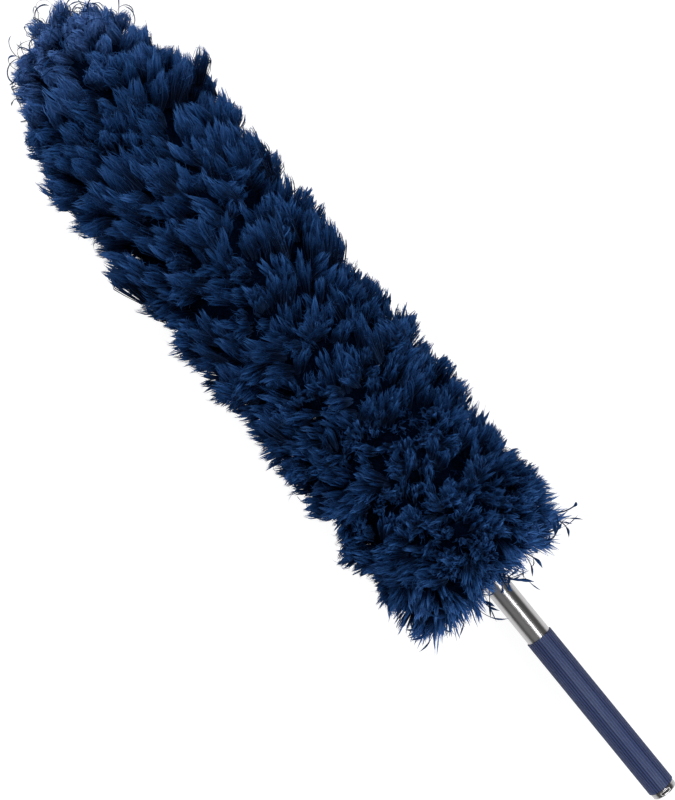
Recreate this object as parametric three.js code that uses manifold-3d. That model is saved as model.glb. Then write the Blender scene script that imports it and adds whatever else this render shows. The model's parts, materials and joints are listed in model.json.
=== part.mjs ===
// A long-handled fibre duster: a bushy head of cut-pile fringe on a telescopic stainless handle.
// Millimetres, +Z up. The duster lies on its head, with its axis along X: the handle's end cap
// is at -X and the head's tip at +X. Every part is drawn on its own axis first, with `s` the
// distance from the end cap's flat face, and the whole assembly is then lifted onto the floor.

import * as THREE from 'three';
import { mergeVertices } from 'three/addons/utils/BufferGeometryUtils.js';
import Module from 'manifold-3d';

const wasm = await Module();
wasm.setup();

// ---- driving dimensions -------------------------------------------------------------------

const TOTAL_LENGTH = 708;
const GAP = 0.3; // left between parts that touch
const TUBE_SEGMENTS = 36;
const PILE_SEGMENTS = 24;

// handle: three stainless tubes, one inside the next
const OUTER_TUBE = { start: 5.8, end: 200, radius: 9.5, wall: 0.7, lip: 8.15 };
const MIDDLE_TUBE = { start: 22, end: 203, radius: 8, wall: 0.6, lip: 6.65, foot: 8.6, bead: 8.45 };
const INNER_TUBE = { start: 27, end: 236, radius: 6.5, wall: 0.6, foot: 7.2, bead: 7.05 };
const LIP_LENGTH = 2.5; // the turned-in mouth of a tube
const FOOT_LENGTH = 1; // the flared inner end that holds the friction sleeve, and the bead above it
const SLEEVE_LENGTH = 13;
const SLEEVE_SPLIT = THREE.MathUtils.degToRad(16);
const MIDDLE_SLEEVE = { inner: 8.15, outer: 8.72 };
const INNER_SLEEVE = { inner: 6.65, outer: 7.3 };

// grip sleeve, with ribs along it
const GRIP = { start: 5.6, end: 143.5, bore: 9.65, valley: 10.05, crest: 10.4, ribs: 32 };
const RIB_CREST_SHARE = 0.36; // of the rib pitch
const RIB_FOOT_SHARE = 0.66;

// end cap
const CAP = { length: 5.5, radius: 9.65, end_wall: 1.4, spigot: 8.6, bore: 7.4, depth: 16 };
const CAP_DOME = { flat: 5.2, height: 1.7, steps: 5 };
const CAP_SLOT = { centre: 3, width: 1.3, length: 7.2 };

// head: collar, core and tip plug
const COLLAR = { start: 205.5, end: 240, radius: 8, bore: 6.65, flange: 13, flange_length: 2.5 };
const COLLAR_SPIGOT = { end: 258, radius: 6.6 };
const COLLAR_PIN = { at: 222, radius: 1.5, hole: 1.75, length: 15.4 };
const CORE_TUBE = { end: 686, radius: 8, wall: 1.3 };
const TIP_PLUG = { start: 674, end: 690, spigot: 6.5, flange: 9, chamfer: 1 };
const TIP_PLUG_CLEARANCE = 2;
const PIN_SEGMENTS = 24;

// fringe: each row is a woven header tape round the core with its pile standing out of it
const ROW_COUNT = 12;
const ROW_PITCH = 38;
const FIRST_ROW = 213;
const TAPE_WIDTH = 26;
const TAPE = { inner: 8.2, outer: 9.3 };
const PILE_BORE = 9.6;
const PILE_RADIUS = 70;
const ROW_GAP = 1;
const ROW_CROWN = 5; // how far a row's rim falls away at its two sides
const ROW_STATIONS = [-1, -0.55, 0, 0.55, 1];
const TIP_ROUNDING_START = 600;
const PILE_FLAT = 65.5; // from the axis down to the side that the head rests on
const SKIRT = { end: 212.5, face: 194, shoulder: 17, clearance: 13.4 };
const SKIRT_TAPE = { start: 208.4, end: 212.3 };
const SHOULDER_STEPS = 3;
const TIP_TUFT_START = FIRST_ROW + ROW_COUNT * ROW_PITCH;
const TIP_TAPE = { start: TIP_TUFT_START + 2, end: CORE_TUBE.end - 2 };
const TIP_STEPS = 6;

// ---- materials ----------------------------------------------------------------------------

function finish(color, roughness, metalness) {
  return new THREE.MeshStandardMaterial({ color, roughness, metalness });
}

const stainless = finish(0xb9b9bd, 0.16, 1);
const chrome = finish(0xc9c9cf, 0.1, 1);
const brass = finish(0xb58d4a, 0.3, 1);
const gripVinyl = finish(0x44506e, 0.55, 0);
const blackPlastic = finish(0x1c1f26, 0.5, 0);
const tapeCloth = finish(0x16233f, 0.95, 0);
const pile = finish(0x1c3764, 0.95, 0);

// ---- helpers ------------------------------------------------------------------------------

// A body turned round the duster's axis. `profile` holds [s, radius] pairs, closed on itself
// unless it starts and ends on the axis.
function turned(profile, segments) {
  const points = profile.map(([s, radius]) => new THREE.Vector2(radius, s));
  const onAxis = points[0].x === 0 && points[points.length - 1].x === 0;
  if (!onAxis) {
    points.push(points[0].clone());
  }
  const area = points.reduce((sum, p, i) => {
    const next = points[(i + 1) % points.length];
    return sum + p.x * next.y - next.x * p.y;
  }, 0);
  if (area < 0) {
    points.reverse();
  }
  const geometry = new THREE.LatheGeometry(points, segments);
  geometry.rotateZ(-Math.PI / 2);
  return geometry;
}

// A straight body with one section, from s = start to s = end.
function extruded(shape, start, end, curveSegments) {
  const geometry = new THREE.ExtrudeGeometry(shape, {
    depth: end - start,
    bevelEnabled: false,
    curveSegments,
  });
  geometry.rotateY(Math.PI / 2);
  geometry.translate(start, 0, 0);
  return geometry;
}

function toSolid(geometry) {
  const bare = geometry.clone();
  bare.deleteAttribute('normal');
  bare.deleteAttribute('uv');
  const merged = mergeVertices(bare, 1e-4);
  const vertProperties = new Float32Array(merged.attributes.position.array);
  const triVerts = new Uint32Array(merged.index.array);
  return new wasm.Manifold(new wasm.Mesh({ numProp: 3, vertProperties, triVerts }));
}

function toGeometry(solid) {
  const mesh = solid.getMesh();
  const geometry = new THREE.BufferGeometry();
  geometry.setAttribute('position', new THREE.BufferAttribute(new Float32Array(mesh.vertProperties), 3));
  geometry.setIndex(new THREE.BufferAttribute(new Uint32Array(mesh.triVerts), 1));
  geometry.computeVertexNormals();
  return geometry;
}

function cut(geometry, cutter) {
  return toGeometry(toSolid(geometry).subtract(toSolid(cutter)));
}

function part(name, geometry, material) {
  const mesh = new THREE.Mesh(geometry, material);
  mesh.name = name;
  return mesh;
}

const numbered = (stem, index) => `${stem}_${String(index + 1).padStart(2, '0')}`;

// ---- handle -------------------------------------------------------------------------------

// The outer outline of a tube's inner end: a flared foot and a bead, with the sleeve's seat between.
function sleeveSeat(tube) {
  const seatStart = tube.start + FOOT_LENGTH;
  const beadStart = seatStart + SLEEVE_LENGTH + 2 * GAP;
  return [
    [tube.start, tube.foot],
    [seatStart, tube.foot],
    [seatStart, tube.radius],
    [beadStart, tube.radius],
    [beadStart, tube.bead],
    [beadStart + FOOT_LENGTH, tube.bead],
    [beadStart + FOOT_LENGTH, tube.radius],
  ];
}

function tube(dimensions) {
  const { start, end, radius, wall, lip, foot } = dimensions;
  const bore = radius - wall;
  const outside = foot ? sleeveSeat(dimensions) : [[start, radius]];
  const mouth = lip ? [[end, lip], [end - LIP_LENGTH, lip], [end - LIP_LENGTH, bore]] : [[end, bore]];
  return turned([...outside, [end, radius], ...mouth, [start, bore]], TUBE_SEGMENTS);
}

function frictionSleeve(onTube, { inner, outer }) {
  const start = onTube.start + FOOT_LENGTH + GAP;
  const section = new THREE.Shape();
  section.absarc(0, 0, outer, SLEEVE_SPLIT / 2, 2 * Math.PI - SLEEVE_SPLIT / 2, false);
  section.absarc(0, 0, inner, 2 * Math.PI - SLEEVE_SPLIT / 2, SLEEVE_SPLIT / 2, true);
  return extruded(section, start, start + SLEEVE_LENGTH, TUBE_SEGMENTS / 2);
}

function gripSleeve() {
  const pitch = (2 * Math.PI) / GRIP.ribs;
  const corners = [
    [-RIB_FOOT_SHARE / 2, GRIP.valley],
    [-RIB_CREST_SHARE / 2, GRIP.crest],
    [RIB_CREST_SHARE / 2, GRIP.crest],
    [RIB_FOOT_SHARE / 2, GRIP.valley],
  ];
  const outline = [];
  for (let rib = 0; rib < GRIP.ribs; rib += 1) {
    for (const [share, radius] of corners) {
      const angle = (rib + share) * pitch;
      outline.push(new THREE.Vector2(radius * Math.cos(angle), radius * Math.sin(angle)));
    }
  }
  const section = new THREE.Shape(outline);
  const bore = new THREE.Path();
  bore.absarc(0, 0, GRIP.bore, 0, 2 * Math.PI, true);
  section.holes.push(bore);
  return extruded(section, GRIP.start, GRIP.end, TUBE_SEGMENTS / 2);
}

function endCap() {
  const { flat, height, steps } = CAP_DOME;
  const dome = [];
  for (let step = 0; step <= steps; step += 1) {
    const angle = (step / steps) * (Math.PI / 2);
    dome.push([height * (1 - Math.cos(angle)), flat + (CAP.radius - flat) * Math.sin(angle)]);
  }
  const profile = [
    [0, 0],
    ...dome,
    [CAP.length, CAP.radius],
    [CAP.length, CAP.spigot],
    [CAP.depth, CAP.spigot],
    [CAP.depth, CAP.bore],
    [CAP.end_wall, CAP.bore],
    [CAP.end_wall, 0],
  ];
  const slot = new THREE.BoxGeometry(CAP_SLOT.width, CAP_SLOT.length, 4 * CAP.radius);
  slot.translate(CAP_SLOT.centre, 0, 0);
  return cut(turned(profile, TUBE_SEGMENTS), slot);
}

// ---- head ---------------------------------------------------------------------------------

function pinHole() {
  const hole = new THREE.CylinderGeometry(COLLAR_PIN.hole, COLLAR_PIN.hole, 3 * COLLAR.radius, PIN_SEGMENTS);
  hole.rotateX(Math.PI / 2);
  hole.translate(COLLAR_PIN.at, 0, 0);
  return hole;
}

function innerTube() {
  return cut(tube(INNER_TUBE), pinHole());
}

function socketCollar() {
  const flangeEnd = COLLAR.start + COLLAR.flange_length;
  const socketEnd = INNER_TUBE.end + GAP;
  const profile = [
    [COLLAR.start, COLLAR.bore],
    [COLLAR.start, COLLAR.flange],
    [flangeEnd, COLLAR.flange],
    [flangeEnd, COLLAR.radius],
    [COLLAR.end, COLLAR.radius],
    [COLLAR.end, COLLAR_SPIGOT.radius],
    [COLLAR_SPIGOT.end, COLLAR_SPIGOT.radius],
    [COLLAR_SPIGOT.end, COLLAR_SPIGOT.radius - CORE_TUBE.wall],
    [socketEnd, COLLAR_SPIGOT.radius - CORE_TUBE.wall],
    [socketEnd, COLLAR.bore],
  ];
  return cut(turned(profile, TUBE_SEGMENTS), pinHole());
}

function collarPin() {
  const { at, radius, length } = COLLAR_PIN;
  const pin = new THREE.CylinderGeometry(radius, radius, length, PIN_SEGMENTS);
  pin.rotateX(Math.PI / 2);
  pin.translate(at, 0, 0);
  return pin;
}

function coreTube() {
  const { end, radius, wall } = CORE_TUBE;
  return tube({ start: COLLAR.end + GAP, end, radius, wall });
}

function tipPlug() {
  const { start, end, spigot, flange, chamfer } = TIP_PLUG;
  const seat = CORE_TUBE.end + GAP;
  const shank = [[start, 0], [start, spigot], [seat, spigot], [seat, flange]];
  return turned([...shank, [end - chamfer, flange], [end, flange - chamfer], [end, 0]], TUBE_SEGMENTS);
}

function tape(start, end) {
  const { inner, outer } = TAPE;
  return turned([[start, inner], [start, outer], [end, outer], [end, inner]], PILE_SEGMENTS);
}

// The head's outline: a cylinder that rounds off at the tip as a quarter of an ellipse.
function envelope(s) {
  const along = Math.max(s - TIP_ROUNDING_START, 0) / (TOTAL_LENGTH - TIP_ROUNDING_START);
  return PILE_RADIUS * Math.sqrt(Math.max(1 - along * along, 0));
}

// Takes off what would reach below the flat side that the head rests on.
function flattened(geometry) {
  const under = new THREE.BoxGeometry(2 * TOTAL_LENGTH, 4 * PILE_RADIUS, 2 * PILE_RADIUS);
  under.translate(TOTAL_LENGTH / 2, 0, -PILE_FLAT - PILE_RADIUS);
  return cut(geometry, under);
}

function pileRow(index) {
  const centre = FIRST_ROW + (index + 0.5) * ROW_PITCH;
  const half = (ROW_PITCH - ROW_GAP) / 2;
  const rim = ROW_STATIONS.map((u) => [centre + u * half, envelope(centre + u * half) - ROW_CROWN * u * u]);
  const profile = [[centre - half, PILE_BORE], ...rim, [centre + half, PILE_BORE]];
  return flattened(turned(profile, PILE_SEGMENTS));
}

// The first, short fringe is swept back over the handle, and stays clear of its tubes.
function baseSkirt() {
  const { end, face, shoulder, clearance } = SKIRT;
  const root = SKIRT_TAPE.start;
  const profile = [[end, PILE_BORE], [root, PILE_BORE], [root, clearance], [face, clearance]];
  for (let step = 0; step <= SHOULDER_STEPS; step += 1) {
    const angle = (step / SHOULDER_STEPS) * (Math.PI / 2);
    const inFromRim = shoulder * (1 - Math.sin(angle));
    profile.push([face + shoulder * (1 - Math.cos(angle)), PILE_RADIUS - inFromRim]);
  }
  profile.push([end, PILE_RADIUS]);
  return flattened(turned(profile, PILE_SEGMENTS));
}

function tipTuft() {
  const start = TIP_TUFT_START + ROW_GAP / 2;
  const overPlug = TIP_PLUG.end + TIP_PLUG_CLEARANCE;
  const profile = [[overPlug, 0], [overPlug, PILE_BORE], [start, PILE_BORE]];
  const startShare = (start - TIP_ROUNDING_START) / (TOTAL_LENGTH - TIP_ROUNDING_START);
  const startAngle = Math.asin(startShare);
  for (let step = 0; step <= TIP_STEPS; step += 1) {
    const angle = startAngle + (step / TIP_STEPS) * (Math.PI / 2 - startAngle);
    const s = TIP_ROUNDING_START + (TOTAL_LENGTH - TIP_ROUNDING_START) * Math.sin(angle);
    profile.push([s, step === TIP_STEPS ? 0 : PILE_RADIUS * Math.cos(angle)]);
  }
  return flattened(turned(profile, PILE_SEGMENTS));
}

// ---- assembly -----------------------------------------------------------------------------

const handle = new THREE.Group();
handle.add(part('end_cap', endCap(), chrome));
handle.add(part('outer_tube', tube(OUTER_TUBE), stainless));
handle.add(part('grip_sleeve', gripSleeve(), gripVinyl));

const middleSection = new THREE.Group();
middleSection.add(part('middle_tube', tube(MIDDLE_TUBE), stainless));
middleSection.add(part('middle_friction_sleeve', frictionSleeve(MIDDLE_TUBE, MIDDLE_SLEEVE), brass));
middleSection.add(part('inner_friction_sleeve', frictionSleeve(INNER_TUBE, INNER_SLEEVE), brass));

const head = new THREE.Group();
head.add(part('inner_tube', innerTube(), stainless));
head.add(part('socket_collar', socketCollar(), blackPlastic));
head.add(part('collar_pin', collarPin(), stainless));
head.add(part('core_tube', coreTube(), blackPlastic));
head.add(part('tip_plug', tipPlug(), blackPlastic));
head.add(part('skirt_tape', tape(SKIRT_TAPE.start, SKIRT_TAPE.end), tapeCloth));
head.add(part('base_skirt', baseSkirt(), pile));
for (let row = 0; row < ROW_COUNT; row += 1) {
  const tapeStart = FIRST_ROW + (row + 0.5) * ROW_PITCH - TAPE_WIDTH / 2;
  head.add(part(numbered('fringe_tape', row), tape(tapeStart, tapeStart + TAPE_WIDTH), tapeCloth));
  head.add(part(numbered('pile_row', row), pileRow(row), pile));
}
head.add(part('tip_tape', tape(TIP_TAPE.start, TIP_TAPE.end), tapeCloth));
head.add(part('tip_tuft', tipTuft(), pile));

const duster = new THREE.Group();
duster.position.set(-TOTAL_LENGTH / 2, 0, PILE_FLAT);
duster.add(handle, middleSection, head);

export default duster;
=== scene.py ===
import json
import math

import bpy
import numpy as np
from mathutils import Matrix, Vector


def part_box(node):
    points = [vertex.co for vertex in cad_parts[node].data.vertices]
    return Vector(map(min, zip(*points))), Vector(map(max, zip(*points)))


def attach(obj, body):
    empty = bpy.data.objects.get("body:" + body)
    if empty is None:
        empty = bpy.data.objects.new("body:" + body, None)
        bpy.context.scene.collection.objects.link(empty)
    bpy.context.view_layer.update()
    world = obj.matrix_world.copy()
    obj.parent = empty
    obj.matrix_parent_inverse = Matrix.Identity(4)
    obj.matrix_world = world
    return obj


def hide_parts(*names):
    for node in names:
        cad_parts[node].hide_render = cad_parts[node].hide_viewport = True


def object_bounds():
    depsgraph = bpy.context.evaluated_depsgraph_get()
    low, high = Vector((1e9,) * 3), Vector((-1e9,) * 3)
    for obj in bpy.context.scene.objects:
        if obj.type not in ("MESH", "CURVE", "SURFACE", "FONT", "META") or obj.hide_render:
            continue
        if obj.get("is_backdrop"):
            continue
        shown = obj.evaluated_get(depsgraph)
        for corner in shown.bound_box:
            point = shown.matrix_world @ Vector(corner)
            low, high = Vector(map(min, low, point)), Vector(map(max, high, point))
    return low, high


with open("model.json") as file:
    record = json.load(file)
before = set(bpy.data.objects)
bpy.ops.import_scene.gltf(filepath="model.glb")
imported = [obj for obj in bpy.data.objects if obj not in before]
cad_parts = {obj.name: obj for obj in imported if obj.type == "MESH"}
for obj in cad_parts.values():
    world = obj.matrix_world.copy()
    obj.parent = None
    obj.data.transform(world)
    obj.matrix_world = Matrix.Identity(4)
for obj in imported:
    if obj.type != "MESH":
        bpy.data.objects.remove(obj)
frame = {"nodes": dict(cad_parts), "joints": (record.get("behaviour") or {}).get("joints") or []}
cad_low, cad_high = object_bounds()

MM = 0.001
SEED = 20  # for every random draw

# ---- places and sizes from the frame -------------------------------------------------------

AXIS_Z = next(j["pos_m"][2] for j in frame["joints"] if j["name"] == "head_swivel")
CAP_END = cad_low.x
HEAD_TIP = cad_high.x


def reach(node):
    """Where a node starts and ends along the duster."""
    low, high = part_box(node)
    return low.x, high.x


def outer_radius(node):
    low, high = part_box(node)
    return (high.y - low.y) / 2


ROWS = sorted(n for n in frame["nodes"] if n.startswith("pile_row_"))
TAPES = sorted(n for n in frame["nodes"] if n.startswith("fringe_tape_"))
PILE_RADIUS = outer_radius(ROWS[len(ROWS) // 2])
SKIRT_FACE = reach("base_skirt")[0]
FIRST_ROW = reach(ROWS[0])[0]
ROW_PITCH = reach(ROWS[1])[0] - FIRST_ROW
TIP_TUFT_START = reach("tip_tuft")[0]

# ---- the pile's own sizes ------------------------------------------------------------------

HOLE_RADIUS = 15 * MM  # round the handle, at the pile's base
BASE_INSET = 4 * MM  # from the CAD skirt's face to the pile's
SHOULDER = 22 * MM  # the round at the pile's base
DOME_LENGTH = 108 * MM  # the pile's rounded end
# How far the locks' tips stand over the outline, at the base and at the tip.
PROUD = (3 * MM, 4 * MM)
LOBE = 2.0 * MM  # how far each row bulges past the notches between rows
LOCK_SPACING = (9.5 * MM, 15.5 * MM)  # at the base and at the tip
UNDERLAY_DEPTH = 19 * MM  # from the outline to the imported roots
CLUMPS_PER_LOCK = 8
STRANDS_PER_CLUMP = (5, 11)  # at the base and at the tip
FLUFF_PER_LOCK = (14, 44)  # fine fibres, at the base and at the tip
LOCKS_PER_TUFT = 5
TUFT_PULL = 0.5  # how far a lock's tip is drawn towards the middle of its tuft
TUFT_RADIUS = 14 * MM
TUFT_ROUNDING = 3.5 * MM  # how much lower a tuft is at its edge than in its middle
TUFT_LIFT = 1.5 * MM  # how unevenly the tufts stand
LOCK_RISE, LOCK_LIFT = 1.2 * MM, 1.4 * MM  # how far a lock rises, and how unevenly
SURFACE_DRIFT = 2.6 * MM  # the height of the slow waves over the whole head
DROPPED_SHARE, DROPPED_DEPTH = 0.08, 7 * MM  # locks that have sunk and leave dark gaps
BASE_HOLLOW, BASE_HOLLOW_RADIUS = 11 * MM, 42 * MM  # the pile's dip round the handle
SOFT_FROM, SOFT_TO = HEAD_TIP - 240 * MM, HEAD_TIP - 80 * MM  # where yarns turn to fluff
STATIONS = np.array([0, 0.5, 0.8, 1.0])  # along a strand, from its root to its tip
LEAF_WIDTH = np.array([0.4, 0.5, 0.6]) * MM  # half of a strand's width at each station but the last
FLUFF_WIDTH = np.array([0.14, 0.17, 0.17]) * MM
FLUFF_TONE = 0.9  # how far along a strand's colours the fluff lies
LEAF_FLATNESS = 0.4  # a strand's thickness over its width
FLOOR_CLEARANCE = 1.2 * MM
SETTLE = 4 * MM  # over how much height the strands flatten towards the floor
WIDEST = (5 * MM, 6 * MM)  # past the pile's radius, where strands ease off, and in how much room
HANDLE_CLEARANCE = 11.5 * MM  # from the axis, over the first 14 mm of the pile
CLEARED_TO = SKIRT_FACE + 14 * MM
PALE_FROM, PALE_TO = HEAD_TIP - 75 * MM, HEAD_TIP - 25 * MM  # where the worn tip turns pale
FRAYED_TO = SKIRT_FACE + 46 * MM  # how far from the base the yarns are frayed

# A hollow pressed into the side of the tip: where it is, and how far it goes in, along and round.
DENT = {"x": HEAD_TIP - 66 * MM, "angle": math.pi, "depth": 9 * MM, "length": 13 * MM, "turn": 0.55}

# How far the locks lean towards the tip, in degrees, by distance from the end cap.
LEAN_AT = np.array([0.194, 0.212, 0.235, 0.270, 0.340, 0.450, 0.600, 0.708]) + CAP_END
LEAN_DEGREES = np.array([-34, -20, 2, 18, 24, 34, 48, 54])


# ---- node helpers --------------------------------------------------------------------------


def add_node(tree, kind, inputs=None, **settings):
    """A node with its settings, and its inputs set to values or linked from sockets."""
    made = tree.nodes.new(kind)
    for name, value in settings.items():
        setattr(made, name, value)
    for name, value in (inputs or {}).items():
        socket = made.inputs[name]
        if isinstance(value, bpy.types.NodeSocket):
            tree.links.new(value, socket)
        else:
            socket.default_value = value
    return made


def ramp(tree, factor, stops):
    """A colour ramp from its (position, colour) stops."""
    made = add_node(tree, "ShaderNodeValToRGB", {"Fac": factor})
    elements = made.color_ramp.elements
    while len(elements) < len(stops):
        elements.new(0.5)
    for element, (position, colour) in zip(elements, stops, strict=True):
        element.position = position
        element.color = (*colour, 1)
    return made.outputs["Color"]


def grey_ramp(tree, factor, stops):
    """A ramp between plain values."""
    return ramp(tree, factor, [(at, (value, value, value)) for at, value in stops])


def new_material(name, **sockets):
    """A Principled material and its tree, with plain values on the shader's own sockets."""
    made = bpy.data.materials.new(name)
    made.use_nodes = True
    tree = made.node_tree
    shader = tree.nodes["Principled BSDF"]
    for socket, value in sockets.items():
        shader.inputs[socket.replace("_", " ")].default_value = value
    return made, tree, shader


def place(tree, scale=(1, 1, 1)):
    """Object coordinates, stretched by scale."""
    where = add_node(tree, "ShaderNodeTexCoord").outputs["Object"]
    return add_node(tree, "ShaderNodeMapping", {"Vector": where, "Scale": scale}).outputs[0]


def noise(tree, vector, scale, detail=4.0, roughness=0.55):
    made = add_node(
        tree,
        "ShaderNodeTexNoise",
        {"Vector": vector, "Scale": scale, "Detail": detail, "Roughness": roughness},
    )
    return made.outputs["Fac"]


def bump(tree, shader, height, strength, distance):
    made = add_node(
        tree,
        "ShaderNodeBump",
        {"Height": height, "Strength": strength, "Distance": distance},
    )
    tree.links.new(made.outputs[0], shader.inputs["Normal"])


# ---- materials -----------------------------------------------------------------------------


def stainless_material(name="polished_stainless", tint=(0.47, 0.46, 0.465)):
    """Drawn and polished tube: fine lines along it and faint smears."""
    made, tree, shader = new_material(name, Metallic=1.0, Base_Color=(*tint, 1))
    lines = noise(tree, place(tree, (3, 900, 900)), 1.0, 3.0)
    smears = noise(tree, place(tree, (30, 60, 60)), 1.0, 4.0)
    mixed = add_node(tree, "ShaderNodeMath", {0: lines, 1: smears}, operation="MULTIPLY")
    rough = grey_ramp(tree, mixed.outputs[0], [(0.1, 0.27), (0.5, 0.32)])
    tree.links.new(rough, shader.inputs["Roughness"])
    bump(tree, shader, lines, 0.015, 0.02 * MM)
    return made


def chrome_material(name, tint, roughness):
    """Bright plating with fine handling marks."""
    made, tree, shader = new_material(name, Metallic=1.0, Base_Color=(*tint, 1))
    marks = noise(tree, place(tree, (500, 500, 500)), 1.0, 6.0)
    rough = grey_ramp(tree, marks, [(0.35, roughness), (0.7, roughness + 0.1)])
    tree.links.new(rough, shader.inputs["Roughness"])
    bump(tree, shader, marks, 0.05, 0.02 * MM)
    return made


def brass_material():
    """Half-hard brass strip, streaked along its length."""
    made, tree, shader = new_material("spring_brass", Metallic=1.0)
    marks = noise(tree, place(tree, (80, 600, 600)), 1.0, 5.0)
    colour = ramp(tree, marks, [(0.3, (0.52, 0.36, 0.13)), (0.7, (0.71, 0.54, 0.25))])
    tree.links.new(colour, shader.inputs["Base Color"])
    tree.links.new(grey_ramp(tree, marks, [(0.3, 0.25), (0.7, 0.42)]), shader.inputs["Roughness"])
    bump(tree, shader, marks, 0.1, 0.03 * MM)
    return made


def grip_material():
    """Soft moulded vinyl: matt, with painted shade in its grooves and a painted highlight along its upper
    side.
    """
    made, tree, shader = new_material("grip_vinyl", Specular_IOR_Level=0.4)
    skin = noise(tree, place(tree), 2600.0, 4.0)
    patches = noise(tree, place(tree, (1, 3, 3)), 28.0, 3.0)
    streaks = noise(tree, place(tree, (6, 700, 700)), 1.0, 3.0)
    blend = add_node(tree, "ShaderNodeMath", {0: patches, 1: streaks}, operation="MULTIPLY").outputs[0]
    # The attribute read here marks the vinyl's upper side, where the colour is lifted paler as a painted
    # highlight over the vinyl's own mottling.
    upward = add_node(tree, "ShaderNodeAttribute", attribute_name="upward").outputs["Fac"]
    lifted = {0: upward, 1: 0.24, 2: blend}
    mottle_and_highlight = add_node(tree, "ShaderNodeMath", lifted, operation="MULTIPLY_ADD").outputs[0]
    # The ramp runs from the vinyl's own mottled navy up to the paler blue of the painted highlight.
    colour = ramp(
        tree,
        mottle_and_highlight,
        [(0.12, (0.026, 0.046, 0.148)), (0.34, (0.035, 0.058, 0.170)), (0.55, (0.063, 0.090, 0.200))],
    )
    # Painted shade in the grooves: their colour is darkened most on the sides and least under the painted
    # highlight.
    groove = add_node(tree, "ShaderNodeAttribute", attribute_name="groove").outputs["Fac"]
    shading = {"Value": upward, "To Min": 0.85, "To Max": 0.35}
    darkest = add_node(tree, "ShaderNodeMapRange", shading).outputs[0]
    depth = add_node(tree, "ShaderNodeMath", {0: groove, 1: darkest}, operation="MULTIPLY").outputs[0]
    left = add_node(tree, "ShaderNodeMath", {0: 1.0, 1: depth}, operation="SUBTRACT").outputs[0]
    shaded = add_node(tree, "ShaderNodeHueSaturation", {"Value": left, "Color": colour}).outputs[0]
    tree.links.new(shaded, shader.inputs["Base Color"])
    tree.links.new(grey_ramp(tree, skin, [(0.3, 0.48), (0.7, 0.62)]), shader.inputs["Roughness"])
    bump(tree, shader, skin, 0.15, 0.05 * MM)
    return made


def plastic_material():
    """Black moulded plastic with a fine grain."""
    made, tree, shader = new_material("black_plastic")
    grain = noise(tree, place(tree), 1500.0, 4.0)
    colour = ramp(tree, grain, [(0.3, (0.01, 0.011, 0.015)), (0.7, (0.02, 0.022, 0.03))])
    tree.links.new(colour, shader.inputs["Base Color"])
    tree.links.new(grey_ramp(tree, grain, [(0.3, 0.38), (0.7, 0.55)]), shader.inputs["Roughness"])
    bump(tree, shader, grain, 0.15, 0.05 * MM)
    return made


def tape_material():
    """Woven header tape: a plain weave of 0.7 mm yarns."""
    made, tree, shader = new_material("tape_cloth", Sheen_Weight=0.3)
    yarn = 2 * math.pi / (0.7 * MM)
    where = add_node(tree, "ShaderNodeSeparateXYZ", {"Vector": place(tree)})
    waves = []
    for axis in ("X", "Y"):
        phase = add_node(tree, "ShaderNodeMath", {0: where.outputs[axis], 1: yarn}, operation="MULTIPLY")
        waves.append(add_node(tree, "ShaderNodeMath", {0: phase.outputs[0]}, operation="SINE").outputs[0])
    weave = add_node(tree, "ShaderNodeMath", {0: waves[0], 1: waves[1]}, operation="MULTIPLY").outputs[0]
    level = add_node(tree, "ShaderNodeMapRange", {"Value": weave, "From Min": -1.0}).outputs[0]
    colour = ramp(tree, level, [(0.2, (0.005, 0.012, 0.04)), (0.8, (0.014, 0.03, 0.085))])
    tree.links.new(colour, shader.inputs["Base Color"])
    tree.links.new(grey_ramp(tree, level, [(0.2, 0.95), (0.8, 0.8)]), shader.inputs["Roughness"])
    bump(tree, shader, level, 0.5, 0.2 * MM)
    return made


def pile_material():
    """Navy fibre. Each strand has its own shade of navy, and painted shade darkens it to near black towards
    its root.
    """
    made, tree, shader = new_material(
        "navy_pile", Sheen_Weight=0.2, Sheen_Roughness=0.4, Specular_IOR_Level=0.05
    )
    shader.inputs["Sheen Tint"].default_value = (0.12, 0.3, 0.8, 1)
    along = add_node(tree, "ShaderNodeAttribute", attribute_name="along").outputs["Fac"]
    shade = add_node(tree, "ShaderNodeAttribute", attribute_name="shade").outputs["Fac"]
    fibres = noise(tree, place(tree), 900.0, 3.0)
    wobble = add_node(tree, "ShaderNodeMath", {0: fibres, 1: 0.5}, operation="SUBTRACT").outputs[0]
    mottled = {0: wobble, 1: 0.3, 2: along}
    place_along = add_node(tree, "ShaderNodeMath", mottled, operation="MULTIPLY_ADD").outputs[0]
    # From root to tip: the low stops, near black at the root, are painted shade; the upper stops are the
    # fibre's own navy.
    colour = ramp(
        tree,
        place_along,
        [
            (0.25, (0.0005, 0.0015, 0.006)),
            (0.55, (0.004, 0.014, 0.048)),
            (0.78, (0.020, 0.058, 0.170)),
            (1.0, (0.048, 0.120, 0.310)),
        ],
    )
    brighter = {0: shade, 1: 1.2, 2: 0.44}
    tone = add_node(tree, "ShaderNodeMath", brighter, operation="MULTIPLY_ADD").outputs[0]
    paler = {"Value": shade, "From Min": 0.7, "From Max": 1.6, "To Min": 1.06, "To Max": 0.93}
    rich = add_node(tree, "ShaderNodeMapRange", paler).outputs[0]
    dyed = {"Value": tone, "Saturation": rich, "Color": colour}
    varied = add_node(tree, "ShaderNodeHueSaturation", dyed).outputs[0]
    tree.links.new(varied, shader.inputs["Base Color"])
    tree.links.new(grey_ramp(tree, fibres, [(0.3, 0.62), (0.7, 0.85)]), shader.inputs["Roughness"])
    return made


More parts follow.
